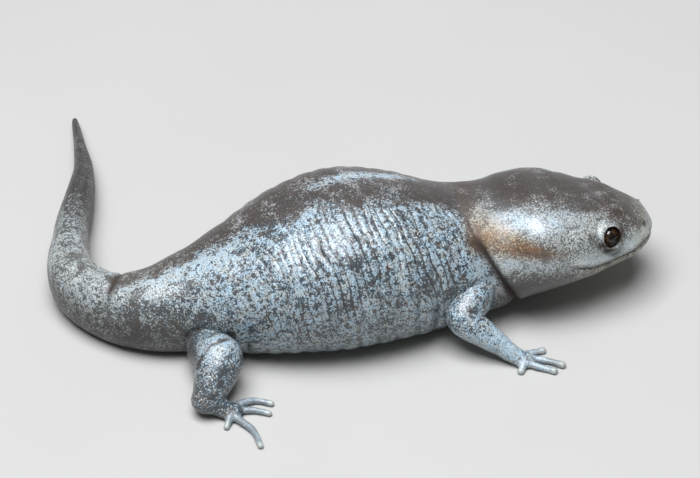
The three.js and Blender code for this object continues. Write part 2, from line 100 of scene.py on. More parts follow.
FACE_REACH = 14.0  # no mouth further along the midline than this
HEAD_REACH = 30.0  # no gular fold, and no mark of the head, further along the midline than this
# Powers of the sections' rounded outlines. The head is flatter on top, and the tail rounder below.
ROUNDNESS = {"head_top": 2.5, "trunk_top": 2.25, "trunk_under": 2.6, "tail_under": 2.3}
NAPE_SPAN = (13.0, 19.0)  # where the head's flatter top turns into the trunk's

EYE = {"radius": 1.32, "s": 5.65, "angle": 19.0, "sunk": 1.0, "turned": 12.0, "gap": 0.03, "reach": 3.0}
LID = {"bulge": 1.75, "across": 1.0, "tall": 1.18, "rim": 0.19, "rim_sunk": 0.06, "opening": 0.02}
LID_CREASE = {"depth": 0.2, "past": 0.2, "width": 0.22}
NOSTRIL = {"radius": 0.24, "s": 1.12, "angle": 45.0, "deep": 0.5, "aim": 3.0, "swell": 0.06, "reach": 1.4}
MOUTH = ((-1, -0.15), (0.7, -0.2), (2.5, -0.55), (4.5, -1.0), (6.5, -1.1), (8.6, -0.85), (9.9, -0.45))
MOUTH_CORNER = (10.4, 8.6)  # the mouth line fades in from the first of these to the second
MOUTH_LINE = {"depth": 0.24, "width": 0.17}
UPPER_LIP = {"swell": 0.1, "above": 0.5, "width": 0.35}
CROWN_FOLD = {"s": 9.9, "depth": 0.22, "width": 0.6, "fade": (0.1, 0.5)}
GULAR = {"back": 18.0, "slant": 0.55, "depth": 0.6, "ahead": 0.45, "behind": 1.3}
GULAR_FADE = {"top": (4.4, 1.0), "bottom": (-8.0, -3.0)}
# The dark band of the back between two angles round the section, left and right, at points along the midline.
BAND = (
    (0.0, 15, 165), (2.0, 34, 146), (4.3, 45, 135), (7.0, 54, 126), (10.4, 62, 118), (13.5, 62, 118),
    (15.6, 56, 106), (17.5, 50, 95), (22.0, 47, 93), (27.6, 44, 98), (38.9, 43, 95), (50.0, 50, 91),
    (54.4, 58, 95), (56.6, 66, 100), (58.2, 86, 88),
)
# Creases on the inside of the tail's bend: place, depth, width.
TAIL_FOLDS = ((57.2, 0.45, 0.4), (61.8, 0.22, 0.45))
TAIL_FOLD_FADE = (-0.2, 0.6)
COSTAL = {"count": 11, "depth": 0.22, "width": 0.22, "spread": 0.38, "fade": (-0.6, 0.2)}
FURROW_SHARE_UP = 0.4  # how much of a furrow's depth is also taken off the section's height
# Skin folds of the flank: how far apart, how deep, and how far forward they sweep for each degree down.
WRINKLE = {"spacing": 0.86, "depth": 0.13, "sweep": 0.037}
# A fold of loose skin over the right knee.
KNEE_FOLD = {
    "line": ((-12.4, -10.5, 6.2), (-13.05, -11.2, 6.45), (-13.95, -11.5, 6.35),
             (-15.05, -12.5, 5.35), (-15.5, -12.9, 4.4)),
    "depth": 0.17,
    "width": 0.2,
}

# Limbs: points from inside the body to the wrist or ankle, with radii, and the heading of the hand or foot.
# Digits: heading, length, place across the palm, bow.
LIMBS = {
    "arm_right": {
        "path": ((13.2, 0.4, 5.4), (12.6, -3.6, 5.2), (11.6, -5.3, 4.5), (13.9, -6.3, 3), (16.3, -7.1, 1.5)),
        "radii": (2.2, 2.0, 1.75, 1.45, 0.95),
        "heading": -15,
        "digits": ((24, 2, 0.95, 0), (-13, 4, 0.4, 0.2), (-21, 3.4, -0.25, -0.1), (-100, 0.8, -0.75, 0.1)),
    },
    "arm_left": {
        "path": ((12.8, 5.2, 5.4), (12.3, 10.6, 5.2), (10.9, 12.9, 4.5), (12.8, 14.1, 3), (14.9, 15.1, 1.5)),
        "radii": (2.2, 2.0, 1.75, 1.45, 0.95),
        "heading": 24,
        "digits": ((-14, 2.0, -0.95, 0), (10, 3.6, -0.35, 0.2), (32, 3.5, 0.3, -0.1), (70, 2.0, 0.9, 0)),
    },
    "leg_right": {
        "path": ((-14.2, -4.2, 3.6), (-14.4, -9.3, 3.1), (-13.3, -11.3, 4),
                 (-13.8, -13.2, 3), (-14.6, -15, 1.8)),
        "radii": (2.3, 2.25, 2.45, 2.05, 1.42),
        "heading": -8,
        "digits": ((34, 1.7, 1, 0), (12, 4, 0.65, 0.7), (-2, 3.8, 0.15, 0.3),
                   (-54, 5.3, -0.45, 0.6), (-106, 1.1, -0.95, 0)),
    },
    "leg_left": {
        "path": ((-14.8, -1.2, 4.5), (-14.3, 3, 4.2), (-13.4, 5.7, 3.9),
                 (-14.9, 6.9, 2.9), (-16.2, 7.6, 1.8)),
        "radii": (2.7, 2.4, 2.1, 1.8, 1.4),
        "heading": 12,
        "digits": ((-32, 1.8, -1, 0), (-10, 3.6, -0.65, -0.3), (10, 4.1, -0.1, 0),
                   (30, 3.6, 0.5, 0.2), (66, 1.9, 0.95, 0)),
    },
}
# Palms: their size, how flat they are, how far out and up their middle and end lie, how wide they are there,
# and how far across the half width the digits stand.
PALM_SIZE = {
    "arm": {"length": 1.7, "half": 1.2, "thick": 0.6},
    "leg": {"length": 2.6, "half": 1.25, "thick": 0.66},
}
PALM = {"squash": 0.62, "middle": 0.45, "past_end": 0.1, "up": 0.92, "wide": (0.8, 0.86), "spread": 0.78}
DIGIT = {"root": 0.38, "tip": 0.28, "pad": {"arm": 0.39, "leg": 0.31}, "pad_share": 0.12, "knuckle": 0.035}
DIGIT_LINE = ((-0.25, 0, 0.44), (0.15, 0.4, 0.48), (0.6, 1, 0.4), (1, 0, 0.3))  # share along, bow, height
KNUCKLES = ((0.28, 0.08), (0.6, 0.07))  # share along a digit, width
RAY_RADII = (0.6, 0.5, 0.44)  # of the ropes from the wrist to the digits
STEPS = {"limb": 22, "palm": 8, "digit": 14, "ray": 7, "knee": 16}  # points along each drawn path
LIMB_MARGIN = 3.2  # a limb isn't felt further than this outside the box round its ropes
GROIN = {"arm": 0.12, "leg": 0.24}  # depth of the crease where a limb leaves the body
GROIN_WIDTH = 0.3

# How far, in mm, neighbouring forms melt into each other.
MELT = {"limb": 0.55, "joint": 0.5, "palm": 0.55, "digit": 0.3, "floor": 0.08}
FACE_MELT = {"lid": 0.4, "rim": 0.25, "opening": 0.12, "socket": 0.1, "nostril": 0.3, "nostril_hole": 0.12}

# The grid that the skin is drawn on: its pitch, a box that holds the skin, and how far outside the body's
# sides and ends the field is worked out.
PITCH = ((0.15, 0.18, 0.18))
GRID_BOX = ((-33.0, 32.8), (-21.2, 34.4), (-0.5 * PITCH[2], 17.2))
GRID_MARGIN = {"side": 1.5, "snout": 2.5, "tip": 2.0}
FAR_OUT = 3.0  # the field's value where it isn't worked out
AT_ONCE = {"points": 20000, "columns": 4000}
# Drawing the vertices on to the skin: rounds of smoothing, rounds of drawing, the probe and the longest step.
SETTLE = {"smooth": 3, "rounds": 2, "probe": 0.02, "most": 0.15}

# Soft marks round an eye: behind and above its middle, size, how much longer than tall, strength. The
# creases' marks are painted shade, and the lid's mark is a painted highlight.
EYE_CREASE_SHADE = ((-1.2, 0.6, 0.5, 1.0, 1.35), (0.35, -1.35, 0.45, 1.6, 1.3), (1.2, -0.75, 0.4, 1.5, 1.2))
LID_SHINE = (1.15, 0.6, 0.8, 1.0, 1.0)
# Soft marks on the head: behind the snout, how long, over the head's middle, how tall. The brow's mark is a
# painted highlight, and the jowl's adds pale flecks and painted sheen.
BROW_HIGHLIGHT = (13.8, 4.2, 4.25, 0.75)
JOWL = (14.5, 4.0, 0.45, 0.75)

# Noise in the skin's colour: size in mm, detail, roughness, distortion.
SPECKLE = {
    "fine": (0.175, 3, 0.6, 0.5),
    "grain": (0.14, 2, 0.6, 0.0),
    "patches": (2.6, 3, 0.6, 0.3),
    "tone": (0.8, 3, 0.65, 0.0),
    "clump": (0.5, 2, 0.6, 0.0),
}
# How much patches, clumps, calm places and folds change the share of flecks, and how that sets their edge.
# Fewer flecks in the folds' valleys are painted shade.
FLECK = {"patches": 1.1, "clumps": 0.6, "calm": 0.3, "folds": 0.8, "edge": 0.68, "grown": 0.32, "sharp": 9.0}
BUMP = {"grain": 0.06, "fold": 0.07, "fine_fold": 0.03}
# Colours of the ground and of the flecks on it: two for the flank and two for the tan cheek, by tone, one for
# the brown back, and those of ashy and dusky places with their weights. The dusky ones also paint the shade
# under the tail.
GROUND = {
    "flank": ("39322d", "2e373d"),
    "by_tone": (0.34, 0.54),
    "back": "382e28",
    "tan": ("493a2a", "624630"),
    "ashy": ("5c5852", 0.5),
    "dusky": ("1f1a17", 0.8),
}
FLECKS = {
    "flank": ("a3aba9", "9db3c0"),
    "by_tone": (0.35, 0.6),
    "back": "8a8580",
    "tan": ("a3977c", "8a7350"),
    "ashy": ("a2a5a0", 1.0),
    "dusky": ("5c6361", 0.6),
}
TAN_BY_TONE = (0.42, 0.58)
# Colours of painted shade in the folds' valleys, of painted glints on the grain, and of painted shade along
# the mouth's line.
VALLEY_SHADE, GLINT, MOUTH_DARK = "352c27", "c4d0d4", "2b241e"
OLIVE = ("55503c", "a5a187")  # ground and flecks of the jaw's rim and the snout
# Tints over both: the mark that says where, the greatest weight, the colour. The first tint is painted sheen,
# and the last is painted shade.
TINTS = (("painted_sheen", 0.2, "b4c0c8"), ("pale", 1.0, "b9b8a6"), ("digit", 0.5, "8d979c"), ("painted_shade", 0.97, "2c221b"))

# The eyeball: rings and sides, its size as shares of the radius, and the angles from its axis, in radians,
# where the pupil ends and where painted shade darkens the eyeball's edge under the lids.
EYE_MESH = (40, 64)
EYE_SLIM, EYE_BULGE = 0.985, 0.05
PUPIL_EDGE, IRIS_SHADE_EDGE = (0.22, 0.5), (0.85, 1.1)

# Lamps: place, the point each one faces and size in mm, power in watts, colour.
LAMPS = {
    "overhead": ((-60, -90, 520), (0, 0, 5), 360, 6.6, "f6f9ff"),
    "rim": ((60, 500, 130), (0, 0, 8), 140, 0.12, "e8f1ff"),
}
SKY = {"colour": "eef2f6", "strength": 0.24}
FLOOR_HALF = 1500.0

rng = np.random.default_rng(11)


# ---------- curves and noise
def through(at, values):
    """Smooth curve through (at, value) pairs, with the slope at a knot of the parabola through three."""
    at, values = np.asarray(at, float), np.asarray(values, float)
    gaps = np.diff(at)
    secants = np.diff(values) / gaps
    middle = (gaps[1:] * secants[:-1] + gaps[:-1] * secants[1:]) / (gaps[1:] + gaps[:-1])
    slopes = np.concatenate([secants[:1], middle, secants[-1:]])

    def value(s):
        t = np.clip(s, at[0], at[-1])
        i = np.clip(np.searchsorted(at, t, side="right") - 1, 0, len(gaps) - 1)
        h = gaps[i]
        u = (t - at[i]) / h
        return (
            (1 + 2 * u) * (1 - u) ** 2 * values[i]
            + u * (1 - u) ** 2 * h * slopes[i]
            + u * u * (3 - 2 * u) * values[i + 1]
            + u * u * (u - 1) * h * slopes[i + 1]
        )

    return value


def smoothstep(a, b, t):
    u = np.clip((t - a) / (b - a), 0, 1)
    return u * u * (3 - 2 * u)


def bell(t, centre, width):
    return np.exp(-(((t - centre) / width) ** 2))


def melt_in(a, b, reach):
    """The nearer of two distances, with a fillet where they are within reach of each other."""
    h = np.maximum(reach - np.abs(a - b), 0) / reach
    return np.minimum(a, b) - h * h * h * reach / 6


def carve_out(a, b, reach):
    """Distance a with the inside of b taken away, with a rounded edge."""
    return -melt_in(-a, b, reach)


LATTICE = rng.random((32, 32, 32))
LATTICE_START = 100.0  # cells from the lattice's corner to the origin


def noise(points, size):
    """Smooth random values, -1 to 1, at points in mm; size is the distance over which they change."""
    p = points / size + LATTICE_START
    cell = np.floor(p).astype(int)
    u = p - cell
    u = u * u * (3 - 2 * u)
    total = 0
    for corner in np.ndindex(2, 2, 2):
        i, j, k = ((cell + corner) % len(LATTICE)).T
        weight = np.prod(np.where(corner, u, 1 - u), axis=1)
        total = total + weight * LATTICE[i, j, k]
    return 2 * total - 1


# ---------- the midline
names = list(STATIONS)
table = np.array([STATIONS[name] for name in names])
reach = np.concatenate([[0], np.cumsum(np.hypot(*np.diff(table[:, :2], axis=0).T))])
LENGTH = reach[-1]
measures = ("x", "y", "half", "back", "side", "belly")
curve = {key: through(reach, table[:, i]) for i, key in enumerate(measures)}
LINE_STEP = 0.2
LINE_PAST = (4.0, 3.0)  # how far the midline runs on, straight, past the snout and the tip
HEADING_SPAN = 0.4  # the midline's direction is taken over this far each way


def along(name):
    return reach[names.index(name)]


def heading(s):
    """Unit vectors along the midline in plan, towards the tail."""
    a, b = np.maximum(s - HEADING_SPAN, 0), np.minimum(s + HEADING_SPAN, LENGTH)
    way = np.stack([curve["x"](b) - curve["x"](a), curve["y"](b) - curve["y"](a)], -1)
    return way / np.linalg.norm(way, axis=-1, keepdims=True)


def head_roll(s):
    return HEAD_ROLL * (1 - smoothstep(along("crown"), along("shoulder"), s))


line_s = np.arange(-LINE_PAST[0], LENGTH + LINE_PAST[1], LINE_STEP)
line_inside = np.clip(line_s, 0, LENGTH)
line_way = heading(line_inside)
line_at = np.stack([curve["x"](line_inside), curve["y"](line_inside)], -1)
line_at = line_at + line_way * (line_s - line_inside)[:, None]


def nearest(x, y):
    """Distance along the midline, and offset to the animal's left of it, for points in plan."""
    s, aside = np.empty(len(x)), np.empty(len(x))
    for part in np.array_split(np.arange(len(x)), len(x) // AT_ONCE["points"] + 1):
        at = np.stack([x[part], y[part]], -1)
        k = ((at[:, None, :] - line_at[None]) ** 2).sum(2).argmin(1)
        off = at - line_at[k]
        way = line_way[k]
        step = np.clip((off * way).sum(1), -LINE_STEP, LINE_STEP)
        s[part] = line_s[k] + step
        aside[part] = off[:, 0] * way[:, 1] - off[:, 1] * way[:, 0]
    return s, aside


# ---------- the body's field
FLANK = (along("shoulder") + 2.2, along("pelvis") - 0.8)


def furrow(s, angle):
    """Depth of the flank's furrows and of the folds of crown and tail below the plain body."""
    turn = (s - FLANK[0]) / (FLANK[1] - FLANK[0]) * COSTAL["count"]
    near = np.abs(turn - np.round(turn))
    on_flank = smoothstep(*COSTAL["fade"], turn) * smoothstep(*COSTAL["fade"], COSTAL["count"] - turn)
    costal = on_flank * bell(np.abs(np.cos(angle)), 1, COSTAL["spread"]) * bell(near, 0, COSTAL["width"])
    crown = smoothstep(*CROWN_FOLD["fade"], np.sin(angle)) * bell(s, CROWN_FOLD["s"], CROWN_FOLD["width"])
    tail = sum(depth * bell(s, place, width) for place, depth, width in TAIL_FOLDS)
    tail = smoothstep(*TAIL_FOLD_FADE, np.sin(angle)) * tail
    return COSTAL["depth"] * costal + CROWN_FOLD["depth"] * crown + tail


def behind_jaws(back, height):
    """Distance behind the slanted plane of the gular fold, in the head's frame."""
    return back - GULAR["back"] - GULAR["slant"] * height


def gular_reach(height):
    """How much of the gular fold there is at a height: it fades out above and under the throat."""
    return smoothstep(*GULAR_FADE["top"], height) * smoothstep(*GULAR_FADE["bottom"], height)


def gular_depth(back, height):
    """Depth of the fold behind the jaws: steep under them, shallow towards the neck."""
    past = behind_jaws(back, height)
    width = np.where(past > 0, GULAR["behind"], GULAR["ahead"])
    return GULAR["depth"] * gular_reach(height) * bell(past, 0, width)


def between(a, b, share):
    return a + (b - a) * share


def roundness(s, up):
    """Power of a section's rounded outline."""
    on_tail = smoothstep(along("vent"), along("tail_bend"), s)
    above = between(ROUNDNESS["head_top"], ROUNDNESS["trunk_top"], smoothstep(*NAPE_SPAN, s))
    return np.where(up > 0, above, between(ROUNDNESS["trunk_under"], ROUNDNESS["tail_under"], on_tail))


def body_point(s, angle):
    """A point of the plain body's surface; angle 0 is the animal's left and pi/2 the midline of the back."""
    way = heading(np.array([s]))[0]
    closing = math.sqrt(1 - max(1 - s / SNOUT_ROUND, 0) ** 2)
    c, z = math.cos(angle), math.sin(angle)
    power = 2 / roundness(s, z)
    height = curve["back"](s) - curve["side"](s) if z > 0 else curve["side"](s) - curve["belly"](s)
    across = curve["half"](s) * closing * math.copysign(abs(c) ** power, c)
    up = height * closing * math.copysign(abs(z) ** power, z)
    roll = head_roll(s)
    aside = across * math.cos(roll) + up * math.sin(roll)
    rise = up * math.cos(roll) - across * math.sin(roll)
    return np.array([curve["x"](s) + way[1] * aside, curve["y"](s) - way[0] * aside, curve["side"](s) + rise])


def body_field(s, aside, z):
    """Distance to the body's surface, and the angle round its section."""
    side = curve["side"](s)
    roll = head_roll(s)
    rise = z - side
    across = aside * np.cos(roll) - rise * np.sin(roll)
    up = rise * np.cos(roll) + aside * np.sin(roll)
    half = curve["half"](s)
    height = np.where(up > 0, curve["back"](s) - side, side - curve["belly"](s))
    power = roundness(s, up)
    turned_up = np.sign(up) * np.abs(up / height) ** (power / 2)
    turned_out = np.sign(across) * np.abs(across / half) ** (power / 2)
    angle = np.arctan2(turned_up, turned_out)
    cut = furrow(s, angle)
    half, height = half - cut, height - FURROW_SHARE_UP * cut
    a, b = np.abs(across) / half, np.abs(up) / height
    size = np.maximum((a**power + b**power) ** (1 / power), 1e-3)
    snout = np.maximum(1 - s / SNOUT_ROUND, 0)
    tip = np.maximum(1 - (LENGTH - s) / TIP_ROUND, 0)
    full = np.sqrt(size**2 + snout**2 + tip**2)
    slope = np.hypot((a / size) ** (power - 1) / half, (b / size) ** (power - 1) / height) * size / full
    slope = np.sqrt(slope**2 + (snout / (full * SNOUT_ROUND)) ** 2 + (tip / (full * TIP_ROUND)) ** 2)
    return (full - 1) / slope, angle


# ---------- limbs and digits
def smooth_path(path, radii, steps):
    """More points, and their radii, along the smooth curve through a limb's points."""
    path = np.asarray(path, float)
    knots = np.concatenate([[0], np.cumsum(np.linalg.norm(np.diff(path, axis=0), axis=1))])
    at = np.linspace(0, knots[-1], steps)
    points = np.stack([through(knots, path[:, i])(at) for i in range(3)], -1)
    return points, through(knots, radii)(at)


def rope(points, path, radii, squash=1.0):
    """Distance to a tapered rope along a path; squash flattens it over its own height."""
    stretch = np.array([1, 1, 1 / squash])
    points, path = points * stretch, path * stretch
    nearest_yet = np.full(len(points), np.inf)
    for a, b, ra, rb in zip(path[:-1], path[1:], radii[:-1], radii[1:]):
        way = b - a
        share = np.clip((points - a) @ way / (way @ way), 0, 1)
        gap = np.linalg.norm(points - a - share[:, None] * way, axis=1) - ra - share * (rb - ra)
        nearest_yet = np.minimum(nearest_yet, gap)
    return nearest_yet * (1 + squash) / 2


def flat_vector(degrees):
    return np.array([math.cos(math.radians(degrees)), math.sin(math.radians(degrees)), 0.0])


def with_height(point, z):
    return np.array([point[0], point[1], z])


def limb_parts(limb, kind):
    """Ropes of a limb: (kind, path, radii, squash) for the limb, the palm, its rays and the digits."""
    palm = PALM_SIZE[kind]
    wrist = np.array(limb["path"][-1])
    way, across = flat_vector(limb["heading"]), flat_vector(limb["heading"] + 90)
    end = with_height(wrist + palm["length"] * way, PALM["up"] * palm["thick"])
    middle = wrist + PALM["middle"] * palm["length"] * way
    middle = with_height(middle, (wrist[2] + 2 * palm["thick"]) / 3)
    parts = [("limb", *smooth_path(limb["path"], limb["radii"], STEPS["limb"]), 1.0)]
    pad = [wrist, middle, end + PALM["past_end"] * way]
    pad_radii = [limb["radii"][-1], *(share * palm["half"] for share in PALM["wide"])]
    parts.append(("palm", *smooth_path(pad, pad_radii, STEPS["palm"]), PALM["squash"]))
    share = np.linspace(0, 1, STEPS["digit"])
    swell = DIGIT["knuckle"] * sum(bell(share, at, width) for at, width in KNUCKLES)
    swell = swell + (DIGIT["pad"][kind] - DIGIT["tip"]) * bell(share, 1.0, DIGIT["pad_share"])
    slim = between(DIGIT["tip"], DIGIT["root"], 0.4)
    for angle, length, place, bow in limb["digits"]:
        ahead, beside = flat_vector(angle), flat_vector(angle + 90)
        root = end + PALM["spread"] * place * palm["half"] * across
        line = [with_height(root + u * length * ahead + v * bow * beside, z) for u, v, z in DIGIT_LINE]
        path, radii = smooth_path(line, [DIGIT["root"], DIGIT["root"], slim, DIGIT["tip"]], STEPS["digit"])
        parts.append(("digit", path, radii + swell, 1.0))
        ray = [with_height(wrist, 0.8 * wrist[2]), 0.5 * (middle + root), line[0]]
        parts.append(("ray", *smooth_path(ray, RAY_RADII, STEPS["ray"]), 1.0))
    return parts


PARTS = {name: limb_parts(limb, name[:3]) for name, limb in LIMBS.items()}


def limb_box(parts):
    """Corners of the box outside which a limb isn't felt."""
    spread = np.concatenate([path for _, path, _, _ in parts])
    return spread.min(0) - LIMB_MARGIN, spread.max(0) + LIMB_MARGIN


def limb_field(points, parts):
    """Distance to one limb, and to its digits alone."""
    kinds = {"limb": MELT["joint"], "palm": MELT["palm"], "ray": MELT["palm"], "digit": MELT["digit"]}
    total, digits = None, np.full(len(points), np.inf)
    for kind, path, radii, squash in parts:
        gap = rope(points, path, radii, squash)
        if kind == "digit":
            digits = np.minimum(digits, gap)
        total = gap if total is None else melt_in(total, gap, kinds[kind])
    return total, digits


# ---------- the head's frame, eyes, nostrils and mouth
snout_at = np.array([curve["x"](0), curve["y"](0), HEAD_MIDDLE])
neck_at = np.array([curve["x"](HEAD_END), curve["y"](HEAD_END), HEAD_MIDDLE])
backward = (neck_at - snout_at) / np.linalg.norm(neck_at - snout_at)
head_up = np.array([0, 0, math.cos(HEAD_ROLL)]) + np.cross(backward, [0, 0, 1]) * math.sin(HEAD_ROLL)
mouth_height = through([p[0] for p in MOUTH], [p[1] for p in MOUTH])

eyes = {}
for name, mirror in (("eye_left", False), ("eye_right", True)):
    angle = math.radians(EYE["angle"])
    surface = body_point(EYE["s"], math.pi - angle if mirror else angle)
    axis = np.array([curve[key](EYE["s"]) for key in ("x", "y", "side")])
    outward = (surface - axis) / np.linalg.norm(surface - axis)
    centre = surface - EYE["sunk"] * outward
    outward = outward - math.tan(math.radians(EYE["turned"])) * backward
    outward = outward / np.linalg.norm(outward)
    wide = backward - outward * (backward @ outward)
    wide = wide / np.linalg.norm(wide)
    tall = np.cross(wide, outward)
    nose = math.radians(NOSTRIL["angle"])
    nostril = body_point(NOSTRIL["s"], math.pi - nose if mirror else nose)
    inward = snout_at + NOSTRIL["aim"] * backward - nostril
    eyes[name] = {
        "centre": centre,
        "outward": outward,
        "wide": wide,
        "tall": tall * math.copysign(1, tall[2]),
        "nostril": nostril,
        "nostril_end": nostril + NOSTRIL["deep"] * inward / np.linalg.norm(inward),
    }


def eye_forms(field, points, eye):
    """The lids' bulge and rim and the socket, worked into the field."""
    off = points - eye["centre"]
    distance = np.linalg.norm(off, axis=1)
    out, along_lid, over = off @ eye["outward"], off @ eye["wide"], off @ eye["tall"]
    field = melt_in(field, distance - LID["bulge"], FACE_MELT["lid"])
    crease = bell(distance, LID["bulge"] + LID_CREASE["past"], LID_CREASE["width"])
    field = field + LID_CREASE["depth"] * crease * smoothstep(-0.2, 0.5, out)
    ring = np.hypot(along_lid / LID["across"], over / LID["tall"])
    rim_radius = np.hypot(along_lid, over) * (1 - 1 / np.maximum(ring, 0.2))
    rim_out = math.sqrt(LID["bulge"] ** 2 - LID["across"] ** 2) - LID["rim_sunk"]
    field = melt_in(field, np.hypot(rim_radius, out - rim_out) - LID["rim"], FACE_MELT["rim"])
    opening = np.where(out > 0, rim_radius + LID["opening"], distance)
    field = carve_out(field, opening, FACE_MELT["opening"])
    return carve_out(field, distance - EYE["radius"] - EYE["gap"], FACE_MELT["socket"])


def nostril_forms(field, points, eye):
    """A low swelling with a hole in it, worked into the field."""
    swell = np.linalg.norm(points - eye["nostril"], axis=1) - NOSTRIL["radius"] - NOSTRIL["swell"]
    route = np.stack([eye["nostril"], eye["nostril_end"]])
    hole = rope(points, route, [NOSTRIL["radius"], 0.8 * NOSTRIL["radius"]])
    return carve_out(melt_in(field, swell, FACE_MELT["nostril"]), hole, FACE_MELT["nostril_hole"])


def in_head(points):
    """Distance behind the snout, and height over the middle of the head, in the head's own frame."""
    off = points - snout_at
    return off @ backward, off @ head_up


def field_at(points, s, aside):
    """Distance to the skin for points in mm whose place on the midline is known."""
    field, _ = body_field(s, aside, points[:, 2])
    back, height = in_head(points)
    lips = height - mouth_height(back)
    groove = MOUTH_LINE["depth"] * bell(lips, 0, MOUTH_LINE["width"])
    groove = groove - UPPER_LIP["swell"] * bell(lips, UPPER_LIP["above"], UPPER_LIP["width"])
    field = field + groove * smoothstep(*MOUTH_CORNER, back) * (s < FACE_REACH)
    field = field + gular_depth(back, height) * (s < HEAD_REACH)
    for name, parts in PARTS.items():
        low, high = limb_box(parts)
        close = np.flatnonzero(((points > low) & (points < high)).all(1))
        if len(close):
            gap, _ = limb_field(points[close], parts)
            seam = GROIN[name[:3]] * bell(field[close] - gap, 0, GROIN_WIDTH)
            field[close] = melt_in(field[close], gap, MELT["limb"]) + seam
    for eye in eyes.values():
        for spot, size, forms in (("centre", EYE, eye_forms), ("nostril", NOSTRIL, nostril_forms)):
            close = np.flatnonzero(((points - eye[spot]) ** 2).sum(1) < size["reach"] ** 2)
            if len(close):
                field[close] = forms(field[close], points[close], eye)
    return -melt_in(-field, points[:, 2], MELT["floor"])


# ---------- drawing the skin
def ticks(low, high, pitch):
    return low + pitch * np.arange(int((high - low) / pitch) + 2)


axes = [ticks(low, high, pitch) for (low, high), pitch in zip(GRID_BOX, PITCH)]


def sample_grid():
    """The field over the whole grid; far from the skin it is only in or out."""
    gx, gy = (plan.ravel() for plan in np.meshgrid(axes[0], axes[1], indexing="ij"))
    s, aside = nearest(gx, gy)
    values = np.full((gx.size, len(axes[2])), FAR_OUT, np.float32)
    near = np.abs(aside) < curve["half"](s) + GRID_MARGIN["side"]
    near &= (s > -GRID_MARGIN["snout"]) & (s < LENGTH + GRID_MARGIN["tip"])
    for parts in PARTS.values():
        low, high = limb_box(parts)
        near |= (gx > low[0]) & (gx < high[0]) & (gy > low[1]) & (gy < high[1])
    near = np.flatnonzero(near)
    for part in np.array_split(near, max(len(near) // AT_ONCE["columns"], 1)):
        columns = np.repeat(part, len(axes[2]))
        points = np.stack([gx[columns], gy[columns], np.tile(axes[2], len(part))], -1)
        values[part] = field_at(points, s[columns], aside[columns]).reshape(len(part), -1)
    return values.reshape([len(axis) for axis in axes])


def surface_net(values):
    """Vertices and quads of the zero level: one vertex in each cell it crosses, one quad round each edge."""
    inside = values < 0
    corners = list(np.ndindex(2, 2, 2))
    shape = tuple(n - 1 for n in values.shape)

    def shifted(array, corner):
        return array[tuple(slice(c, c + n) for c, n in zip(corner, shape))]

    count = sum(shifted(inside, corner).astype(np.uint8) for corner in corners)
    cells = np.argwhere((count > 0) & (count < 8))
    number = np.full(shape, -1, np.int32)
    number[tuple(cells.T)] = np.arange(len(cells))
    total, crossings = np.zeros((len(cells), 3)), np.zeros(len(cells))
    for first in corners:
        for axis in range(3):
            if first[axis]:
                continue
            second = tuple(c + (i == axis) for i, c in enumerate(first))
            a = values[tuple((cells + first).T)]
            b = values[tuple((cells + second).T)]
            cross = np.flatnonzero((a < 0) != (b < 0))
            at = np.stack([axes[i][cells[cross, i] + first[i]] for i in range(3)], -1)
            at[:, axis] += a[cross] / (a[cross] - b[cross]) * PITCH[axis]
            total[cross] += at
            crossings[cross] += 1
    vertices = total / crossings[:, None]
    quads = []
    for axis in range(3):
        u, v = (axis + 1) % 3, (axis + 2) % 3
        edges = np.argwhere(np.diff(inside, axis=axis))
        across = edges[:, [u, v]]
        edges = edges[((across > 0) & (across < np.array(values.shape)[[u, v]] - 1)).all(1)]
        ring = []
        for du, dv in ((0, 0), (-1, 0), (-1, -1), (0, -1)):
            cell = edges.copy()
            cell[:, u] += du
            cell[:, v] += dv
            ring.append(number[tuple(cell.T)])
        quad = np.stack(ring, -1)
        outward = inside[tuple(edges.T)]
        quad[~outward] = quad[~outward][:, ::-1]
        quads.append(quad)
    return vertices, np.concatenate(quads)


def gathered(index, rows, count):
    """Sums of the rows that share an index."""
    return np.stack([np.bincount(index, rows[:, i], count) for i in range(3)], -1)


def relax(vertices, quads, rounds):
    """Moves each vertex half of the way to the mean of its neighbours."""
    a, b = quads.ravel(), np.roll(quads, -1, axis=1).ravel()
    count = len(vertices)
    links = np.bincount(a, minlength=count) + np.bincount(b, minlength=count)
    for _ in range(rounds):
        mean = (gathered(a, vertices[b], count) + gathered(b, vertices[a], count)) / links[:, None]
        vertices = 0.5 * vertices + 0.5 * mean
    return vertices


def evaluate(points):
    return field_at(points, *nearest(points[:, 0], points[:, 1]))


def normals_of(vertices, quads):
    """Area-weighted normals."""
    a, b, c, d = (vertices[quads[:, i]] for i in range(4))
    face = np.cross(c - a, d - b)
    total = sum(gathered(quads[:, i], face, len(vertices)) for i in range(4))
    return total / np.maximum(np.linalg.norm(total, axis=1, keepdims=True), 1e-12)


def settle(vertices, quads):
    """Draws relaxed vertices back on to the zero level."""
    vertices = relax(vertices, quads, SETTLE["smooth"])
    for _ in range(SETTLE["rounds"]):
        normal = normals_of(vertices, quads)
        here = evaluate(vertices)
        slope = (evaluate(vertices + SETTLE["probe"] * normal) - here) / SETTLE["probe"]
        move = -here / np.clip(slope, 0.5, 2.0)
        vertices = vertices + normal * np.clip(move, -SETTLE["most"], SETTLE["most"])[:, None]
    return vertices


vertices, quads = surface_net(sample_grid())
vertices = settle(vertices, quads)

